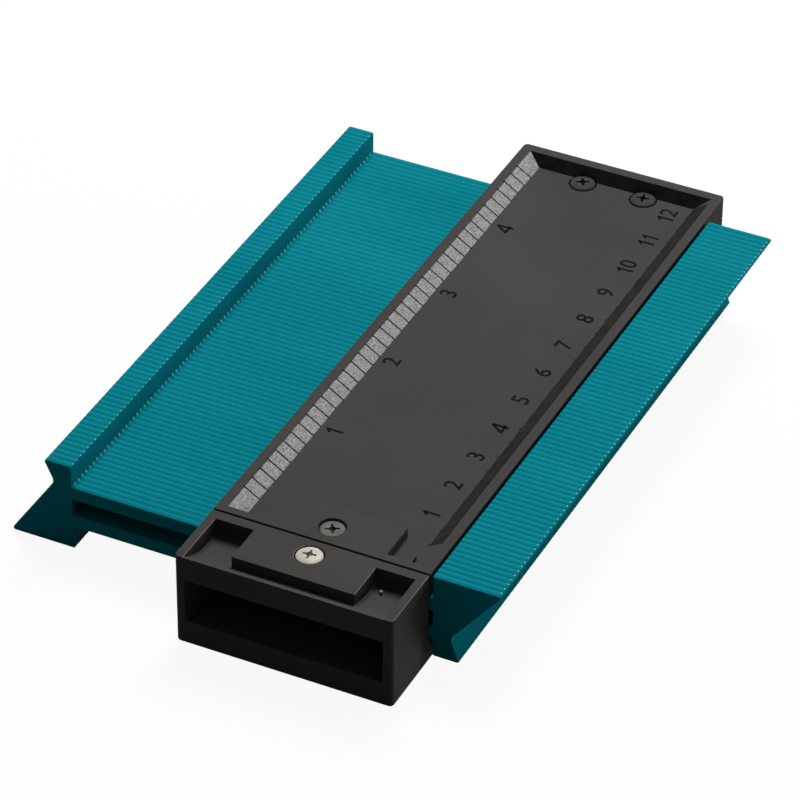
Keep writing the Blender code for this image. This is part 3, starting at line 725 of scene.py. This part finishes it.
@dataclass
class Scales:
    """The two graduated strips, the painted shade on the far slope and the plain numerals.

    Feet, tops and overruns are shares of a slope, 0 at its foot and 1 at its rim.
    """

    metric_zero_y: float = -0.05139
    inch_zero_y: float = -0.05257
    slope_top_x: float = 0.02025
    slope_width: float = 0.0032
    slope_depth: float = 0.00205
    end_slope: float = 0.0023
    top_z: float = 0.0200
    foil: float = 0.00003
    inch_step: float = 0.003175
    inch_ticks: int = 39
    tick_width: float = 0.00034
    tick_overrun: float = 0.02
    block_foot: float = 0.01
    block_top: float = 0.97
    block_spread: float = 0.03
    block_seed: int = 7
    near_y: float = -0.059255
    far_y: float = 0.074455
    band_share: float = 0.94
    screw_room: float = 0.0003
    millimetre: float = 0.001
    millimetres: int = 124
    mark_width: float = 0.00045
    mark_top: float = 0.97
    ten_foot: float = -0.10
    five_foot: float = 0.02
    one_foot: float = 0.10
    gap_foot: float = 0.14
    numeral_height: float = 0.0035
    stroke: float = 0.00052
    bolder: float = 0.00003
    ink: float = 0.00005
    cap_share: float = 0.7
    curve_steps: int = 4
    digit_step: float = 0.62
    inch_numeral_x: float = -0.01415
    metric_numeral_x: float = 0.0135
    inch_numerals: dict[str, float] = field(default_factory=lambda: {
        "1": -0.0271, "2": -0.0022, "3": 0.0234, "4": 0.0489})
    metric_numerals: dict[str, float] = field(default_factory=lambda: {
        "1": -0.0421, "2": -0.0325, "3": -0.0225, "4": -0.0125, "5": -0.0025, "6": 0.0075,
        "7": 0.0175, "8": 0.0275, "9": 0.0375, "10": 0.0475, "11": 0.0581, "12": 0.0678})
    straight_digits: dict[str, tuple[Stroke, ...]] = field(default_factory=lambda: {
        "1": ((0.0, -0.5, 0.0, 0.5), (0.0, 0.41, -0.24, 0.21)),
        "4": ((0.18, -0.5, 0.18, 0.5), (-0.37, -0.24, 0.34, -0.24), (-0.32, -0.20, 0.15, 0.45))})

    def on_slope(self, side: Side, low_y: float, high_y: float,
                 low: float, high: float) -> bmesh.types.BMesh:
        """Lay a thin bar on a sloped side.

        Args:
            side: Which slope.
            low_y: Its near end.
            high_y: Its far end.
            low: Where it starts up the slope, 0 at the foot and 1 at the rim.
            high: Where it stops.

        Returns:
            The bar.
        """
        foot = Vector((side.value * (self.slope_top_x - self.slope_width), 0.0,
                       self.top_z - self.slope_depth))
        rise = Vector((side.value * self.slope_width, 0.0, self.slope_depth))
        up = rise.normalized()
        out = Vector((-up.z * side.value, 0.0, abs(up.x)))
        middle = foot + rise * (low + high) / 2 + out * self.foil / 2
        middle.y = (low_y + high_y) / 2
        return slab(middle, Matrix((up, Vector((0, 1, 0)), out)),
                    Vector((rise.length * (high - low), high_y - low_y, self.foil)))

    def mitred(self, shape: bmesh.types.BMesh) -> bmesh.types.BMesh:
        """Trim the inch strip to the corners where its slope meets the end slopes.

        Args:
            shape: The strip, which is changed.

        Returns:
            The same strip.
        """
        middle = Vector((-self.slope_top_x, (self.near_y + self.far_y) / 2, 0.0))
        for end_y, way in ((self.near_y, 1), (self.far_y, -1)):
            corner = Vector((-self.slope_top_x, end_y, 0.0))
            trim(shape, corner, Vector((self.slope_width, way * self.end_slope, 0.0)), middle)
        return shape

    def inch_tick_places(self) -> list[float]:
        """Return where the eighths of an inch lie."""
        return [self.inch_zero_y + index * self.inch_step for index in range(self.inch_ticks)]

    def inch_blocks(self) -> bmesh.types.BMesh:
        """Build the silver blocks, one for each eighth of an inch.

        Returns:
            The blocks, a little uneven in length as printed foil is.
        """
        jitter = random.Random(self.block_seed)
        edges = [self.near_y, *self.inch_tick_places(), self.far_y]
        bars = [self.on_slope(Side.INCH, start, stop,
                              self.block_foot + jitter.uniform(0.0, self.block_spread),
                              self.block_top - jitter.uniform(0.0, self.block_spread))
                for start, stop in zip(edges, edges[1:])]
        return self.mitred(joined(bars))

    def inch_marks(self) -> bmesh.types.BMesh:
        """Build the dark bars between the silver blocks.

        Returns:
            The bars, half a foil's thickness above the blocks.
        """
        half = self.tick_width / 2
        bars = [self.on_slope(Side.INCH, place - half, place + half,
                              -self.tick_overrun, 1 + self.tick_overrun)
                for place in self.inch_tick_places()]
        shape = joined(bars)
        bmesh.ops.translate(shape, vec=(0.0, 0.0, self.foil / 2), verts=shape.verts)
        return shape

    def far_slope_painted_shade(self) -> bmesh.types.BMesh:
        """Build the dark band of painted shade on the far end's slope.

        Returns:
            The band, mitred at both ends and open round the two cover screws.
        """
        rise = Vector((0.0, self.end_slope, self.slope_depth))
        out = Vector((0.0, -rise.z, rise.y)).normalized()
        middle = Vector((0.0, self.far_y - self.end_slope / 2, self.top_z - self.slope_depth / 2))
        shape = slab(middle + out * self.foil / 2,
                     Matrix((Vector((1, 0, 0)), rise.normalized(), out)),
                     Vector((2 * self.slope_top_x, rise.length * self.band_share, self.foil)))
        for side in Side:
            corner = Vector((side.value * self.slope_top_x, self.far_y, 0.0))
            run = Vector((-side.value * self.slope_width, -self.end_slope, 0.0))
            trim(shape, corner, run, middle)
        tools = []
        for node in ("cover_screw_left", "cover_screw_right"):
            low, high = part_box(node)
            centre = (low + high) / 2
            radius = (high.x - low.x) / 2 + self.screw_room
            tool = bmesh.new()
            bmesh.ops.create_cone(tool, cap_ends=True, segments=ROUND_STEPS, radius1=radius,
                                  radius2=radius, depth=2 * self.slope_depth,
                                  matrix=Matrix.Translation((centre.x, centre.y, middle.z)))
            tools.append(tool)
        return carved(shape, *tools)

    def metric_marks(self) -> bmesh.types.BMesh:
        """Build the dark metric band, which runs into a mark at each millimetre.

        Returns:
            The band, as bars side by side.
        """
        bars = []
        for index in range(self.millimetres):
            start = self.metric_zero_y + index * self.millimetre
            stop = start + self.mark_width
            foot = (self.ten_foot if index % 10 == 0
                    else self.five_foot if index % 5 == 0 else self.one_foot)
            bars.append(self.on_slope(Side.METRIC, start, stop, foot, self.mark_top))
            bars.append(self.on_slope(Side.METRIC, stop, start + self.millimetre,
                                      self.gap_foot, self.mark_top))
        return joined(bars)

    def strokes(self, lines: tuple[Stroke, ...]) -> bmesh.types.BMesh:
        """Build a digit of straight strokes.

        Args:
            lines: Each stroke's two ends (x, y, x, y) in shares of the numeral's height.

        Returns:
            The digit as a thin flat solid.
        """
        bars = []
        for start_x, start_y, stop_x, stop_y in lines:
            start = Vector((start_x, start_y, 0.0)) * self.numeral_height
            run = Vector((stop_x, stop_y, 0.0)) * self.numeral_height - start
            bar = block((0.0, -self.stroke / 2, -self.ink),
                        (run.length, self.stroke / 2, self.ink))
            bmesh.ops.rotate(bar, cent=(0, 0, 0), verts=bar.verts,
                             matrix=Matrix.Rotation(math.atan2(run.y, run.x), 3, "Z"))
            bmesh.ops.translate(bar, vec=start, verts=bar.verts)
            bars.append(bar)
        return joined(bars)

    def digit(self, character: str) -> bmesh.types.BMesh:
        """Build one plain digit about its own centre, its foot towards -Y.

        Args:
            character: The digit.

        Returns:
            The digit as a thin flat solid.
        """
        if character in self.straight_digits:
            return self.strokes(self.straight_digits[character])
        curve = bpy.data.curves.new("digit", "FONT")
        curve.body = character
        curve.size = self.numeral_height / self.cap_share
        curve.extrude = self.ink
        curve.offset = self.bolder
        curve.align_x = "CENTER"
        curve.align_y = "CENTER"
        curve.resolution_u = self.curve_steps
        shape = evaluated_shape(new_object("digit", curve))
        bpy.data.curves.remove(curve)
        return shape

    def numeral(self, text: str, x: float, y: float) -> bmesh.types.BMesh:
        """Build one plain number that reads along the body.

        Args:
            text: The digits.
            x: Its centre across the body.
            y: Its centre along the body.

        Returns:
            The number as thin solids on the field's floor.
        """
        step = self.numeral_height * self.digit_step
        digits = []
        for index, character in enumerate(text):
            digit = self.digit(character)
            shift = (index - (len(text) - 1) / 2) * step
            bmesh.ops.translate(digit, vec=(shift, 0.0, 0.0), verts=digit.verts)
            digits.append(digit)
        shape = joined(digits)
        floor = self.top_z - self.slope_depth
        turn = Matrix(((0, -1, 0, x), (1, 0, 0, y), (0, 0, 1, floor), (0, 0, 0, 1)))
        bmesh.ops.transform(shape, matrix=turn, verts=shape.verts)
        return shape

    def build(self, silver: bpy.types.Material, dark: bpy.types.Material,
              ink: bpy.types.Material) -> None:
        """Build both strips, the painted shade on the far slope and all the numerals.

        Args:
            silver: The inch strip's finish.
            dark: The metric strip's finish.
            ink: The numerals' finish, also that of the painted shade on the far slope.
        """
        add_piece("inch_strip", self.inch_blocks(), silver, BODY)
        add_piece("inch_marks", self.inch_marks(), dark, BODY)
        add_piece("metric_strip", self.metric_marks(), dark, BODY)
        # A dark sheet on the far slope: painted shade.
        add_piece("far_slope_painted_shade", self.far_slope_painted_shade(), ink, BODY)
        for name, x, places in (
                ("inch_numerals", self.inch_numeral_x, self.inch_numerals),
                ("metric_numerals", self.metric_numeral_x, self.metric_numerals)):
            numbers = [self.numeral(text, x, y) for text, y in places.items()]
            add_piece(name, joined(numbers), ink, BODY)


# ---- screws


@dataclass
class Screw:
    """A turned screw with a cross recess in its head."""

    node: str
    profile: Profile
    recess_width: float = 0.00046
    recess_reach: float = 0.00150
    recess_depth: float = 0.00100
    recess_overrun: float = 0.00005
    pit_radius: float = 0.00070
    pit_tip: float = 0.00020
    pit_segments: int = 16
    wing_taper: float = 0.45
    wing_share: float = 0.8
    stagger: float = 0.00002
    turn_degrees: float = 0.0

    def recess_tools(self, top: float) -> list[bmesh.types.BMesh]:
        """Make the tools of a cross recess: a tapered pit and two wings through it.

        Args:
            top: The height of the head's top.

        Returns:
            The tools, staggered so that no two of their faces lie in one plane.
        """
        depth = self.recess_depth + self.recess_overrun
        pit = bmesh.new()
        middle_z = top + self.recess_overrun - depth / 2
        bmesh.ops.create_cone(pit, cap_ends=True, segments=self.pit_segments,
                              radius1=self.pit_tip, radius2=self.pit_radius, depth=depth,
                              matrix=Matrix.Translation((0.0, 0.0, middle_z)))
        tools = [pit]
        for index, turn in enumerate((0, 90)):
            apart = (index + 1) * self.stagger
            wing = block((-self.recess_reach, -self.recess_width / 2,
                          top - self.recess_depth * self.wing_share - apart),
                         (self.recess_reach, self.recess_width / 2,
                          top + self.recess_overrun + apart))
            for vert in wing.verts:
                if vert.co.z < top:
                    vert.co.x *= self.wing_taper
            angle = math.radians(turn + self.turn_degrees)
            bmesh.ops.rotate(wing, cent=(0, 0, 0), verts=wing.verts,
                             matrix=Matrix.Rotation(angle, 3, "Z"))
            tools.append(wing)
        return tools

    def build(self, material: bpy.types.Material, shade: bpy.types.Material, slot: str) -> None:
        """Spin the profile round, then cut the recess.

        Args:
            material: The screw's finish.
            shade: The darker finish inside the recess, painted shade.
            slot: A material slot's name; not used.
        """
        shape = bmesh.new()
        corners = [shape.verts.new((radius, 0.0, height)) for radius, height in self.profile]
        for start, stop in zip(corners, corners[1:]):
            shape.edges.new((start, stop))
        bmesh.ops.spin(shape, geom=shape.verts[:] + shape.edges[:], cent=(0, 0, 0),
                       axis=(0, 0, 1), angle=math.tau, steps=ROUND_STEPS, use_merge=True)
        bmesh.ops.remove_doubles(shape, verts=shape.verts, dist=MERGE_DISTANCE)
        top = max(height for _, height in self.profile)
        # The recess faces take the darker finish: painted shade.
        cut = carved(shape, *self.recess_tools(top), mark=1)
        low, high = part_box(self.node)
        middle = (low + high) / 2
        bmesh.ops.translate(cut, vec=(middle.x, middle.y, 0.0), verts=cut.verts)
        add_piece(self.node + "_turned", cut, material, BODY, (self.node,), shade)


def pan_profile(head_z: float, radius: float, height: float, shank: float) -> Profile:
    """Draw a low domed head and its shank, from the head's top to the tip.

    Args:
        head_z: The height of the head's top.
        radius: The head's radius.
        height: The head's height.
        shank: The length below the head.

    Returns:
        Each corner's radius and height.
    """
    under = head_z - height
    dome = [(radius * math.sin(math.radians(angle)),
             head_z - height * DOME_SHARE * (1 - math.cos(math.radians(angle))))
            for angle in range(0, 91, 10)]
    return [*dome, (radius, under), (SHANK_RADIUS, under),
            (SHANK_RADIUS, under - shank + SHANK_TIP), (0.0, under - shank)]


# ---- camera, light and stage


@dataclass(frozen=True)
class Lamp:
    """One square area lamp that points at the gauge."""

    name: str
    place: tuple[float, float, float]
    size: float
    watts: float

    def build(self) -> None:
        """Add the lamp to the scene."""
        data = bpy.data.lights.new(self.name, "AREA")
        data.energy = self.watts
        data.size = self.size
        lamp = new_object(self.name, data)
        lamp.location = self.place
        lamp.rotation_euler = (-Vector(self.place)).to_track_quat("-Z", "Y").to_euler()


@dataclass
class Studio:
    """Camera at the photograph's angle, soft lamps and a pale floor."""

    location: tuple[float, float, float] = (0.312960, -0.675326, 0.557801)
    turn: tuple[float, float, float] = (2.157433, 0.500765, -0.247394)
    lens: float = 214.602
    sensor: float = 36.0
    clip_end: float = 10.0
    lamps: tuple[Lamp, ...] = (
        Lamp("key_lamp", place=(-0.08, 0.46, 0.86), size=0.40, watts=9.5),
        Lamp("side_lamp", place=(0.62, 0.36, 0.12), size=0.22, watts=1.2))
    surround: float = 0.075
    floor_size: float = 6.0
    floor_drop: float = 0.0001
    floor_grey: tuple[float, float, float, float] = (0.18, 0.18, 0.18, 1.0)
    floor_grey_seen: tuple[float, float, float, float] = (0.95, 0.95, 0.95, 1.0)
    floor_white_seen: float = 0.93
    floor_roughness: float = 0.9

    def camera(self) -> None:
        """Make the camera from the solved turn, which is world to camera, Y down."""
        angle = Vector(self.turn).length
        view = Matrix.Rotation(angle, 3, Vector(self.turn).normalized())
        axes = Matrix((view[0], -view[1], -view[2])).transposed()
        data = bpy.data.cameras.new("camera")
        data.lens = self.lens
        data.sensor_width = self.sensor
        data.clip_end = self.clip_end
        camera = new_object("camera", data)
        camera.matrix_world = Matrix.Translation(self.location) @ axes.to_4x4()
        bpy.context.scene.camera = camera

    def white_to_camera(self, tree: bpy.types.NodeTree, plain: bpy.types.Node,
                        strength: float) -> bpy.types.Node:
        """Mix a plain shader with white seen by camera, glossy and transmission rays.

        Args:
            tree: The material's or world's node tree.
            plain: The shader that lights the gauge.
            strength: How much of the white is seen.

        Returns:
            The mixing node.
        """
        path = tree.nodes.new("ShaderNodeLightPath")
        first = tree.nodes.new("ShaderNodeMath")
        first.operation = "MAXIMUM"
        second = tree.nodes.new("ShaderNodeMath")
        second.operation = "MAXIMUM"
        share = tree.nodes.new("ShaderNodeMath")
        share.operation = "MULTIPLY"
        share.inputs[1].default_value = strength
        white = tree.nodes.new("ShaderNodeEmission" if plain.type != "BACKGROUND"
                               else "ShaderNodeBackground")
        white.inputs["Color"].default_value = (1.0, 1.0, 1.0, 1.0)
        mix = tree.nodes.new("ShaderNodeMixShader")
        tree.links.new(path.outputs["Is Camera Ray"], first.inputs[0])
        tree.links.new(path.outputs["Is Glossy Ray"], first.inputs[1])
        tree.links.new(first.outputs["Value"], second.inputs[0])
        tree.links.new(path.outputs["Is Transmission Ray"], second.inputs[1])
        tree.links.new(second.outputs["Value"], share.inputs[0])
        tree.links.new(share.outputs["Value"], mix.inputs["Fac"])
        tree.links.new(plain.outputs[0], mix.inputs[1])
        tree.links.new(white.outputs[0], mix.inputs[2])
        return mix

    def floor(self) -> None:
        """Lay the pale floor, which keeps the gauge's shadow."""
        shape = bmesh.new()
        bmesh.ops.create_grid(shape, x_segments=1, y_segments=1, size=self.floor_size / 2)
        bmesh.ops.translate(shape, vec=(0, 0, -self.floor_drop), verts=shape.verts)
        mesh = bpy.data.meshes.new("floor")
        shape.to_mesh(mesh)
        shape.free()
        material = bpy.data.materials.new("pale_floor")
        material.use_nodes = True
        tree = material.node_tree
        shader = tree.nodes["Principled BSDF"]
        path = tree.nodes.new("ShaderNodeLightPath")
        tone = tree.nodes.new("ShaderNodeMix")
        tone.data_type = "RGBA"
        tone.inputs["A"].default_value = self.floor_grey
        tone.inputs["B"].default_value = self.floor_grey_seen
        tree.links.new(path.outputs["Is Camera Ray"], tone.inputs["Factor"])
        tree.links.new(tone.outputs["Result"], shader.inputs["Base Color"])
        shader.inputs["Roughness"].default_value = self.floor_roughness
        shader.inputs["Specular IOR Level"].default_value = 0.0
        mix = self.white_to_camera(tree, shader, self.floor_white_seen)
        tree.links.new(mix.outputs[0], tree.nodes["Material Output"].inputs["Surface"])
        mesh.materials.append(material)
        floor = new_object("floor", mesh)

    def world(self) -> None:
        """Set a dim even surround that the camera sees as white."""
        world = bpy.data.worlds.new("studio")
        world.use_nodes = True
        tree = world.node_tree
        plain = tree.nodes["Background"]
        plain.inputs["Color"].default_value = (1.0, 1.0, 1.0, 1.0)
        plain.inputs["Strength"].default_value = self.surround
        mix = self.white_to_camera(tree, plain, 1.0)
        tree.links.new(mix.outputs[0], tree.nodes["World Output"].inputs["Surface"])
        bpy.context.scene.world = world

    def build(self) -> None:
        """Set up the camera, the lamps, the floor and the surround."""
        self.camera()
        for lamp in self.lamps:
            lamp.build()
        self.floor()
        self.world()
        bpy.context.scene.view_settings.view_transform = "Standard"


# ---- the whole gauge


def dress_node(node: str, material: bpy.types.Material) -> None:
    """Give a CAD node that is kept as it is its finish.

    Args:
        node: The CAD node.
        material: Its finish.
    """
    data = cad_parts[node].data
    data.materials.clear()
    data.materials.append(material)
    LOG.info("%s: dressed", node)


def build_screws(finishes: dict[str, bpy.types.Material]) -> None:
    """Build the two cover screws, the tension screw and the coupling screw.

    Args:
        finishes: The finished materials by name.
    """
    cover_profile = pan_profile(head_z=0.01845, radius=0.0026, height=0.0013, shank=0.0080)
    # Near-black ink in the cover screws' recesses, and charcoal in the tension screw's below,
    # paint shade into them.
    for node, turn in (("cover_screw_left", 28.0), ("cover_screw_right", 12.0)):
        Screw(node, cover_profile, turn_degrees=turn).build(
            finishes["black"], finishes["numeral"], "black_screw")
    flat_profile = [(0.0, 0.0196), (0.00218, 0.0196), (0.0023, 0.01957), (0.0024, 0.01948),
                    (SHANK_RADIUS, 0.0182), (SHANK_RADIUS, 0.0164), (0.0, 0.0164)]
    Screw("tension_screw", flat_profile, turn_degrees=29.0).build(
        finishes["grey"], finishes["charcoal"], "grey_screw")
    coupling_profile = pan_profile(head_z=0.0203, radius=0.0026, height=0.0014, shank=0.0034)
    Screw("coupling_screw", coupling_profile, turn_degrees=8.0, recess_depth=0.0008).build(
        finishes["bright"], finishes["tarnish_and_shade"], "bright_screw")


def main() -> None:
    """Build every sub-assembly in order."""
    logging.basicConfig(level=logging.INFO, format="%(message)s")
    groups = {"grain": make_grain_group(), "tone": make_tone_group()}
    finishes = {name: finish.build(groups) for name, finish in FINISHES.items()}
    Housing().build(finishes["charcoal"], finishes["edge"], finishes["gate"])
    FingerStack().build(finishes["teal"], finishes["glint"])
    Scales().build(finishes["silver"], finishes["graduation"], finishes["numeral"])
    build_screws(finishes)
    dress_node("guide_bar", finishes["steel"])
    dress_node("friction_strip_upper", finishes["felt"])
    dress_node("friction_strip_lower", finishes["felt"])
    Studio().build()


if __name__ == "__main__":
    main()
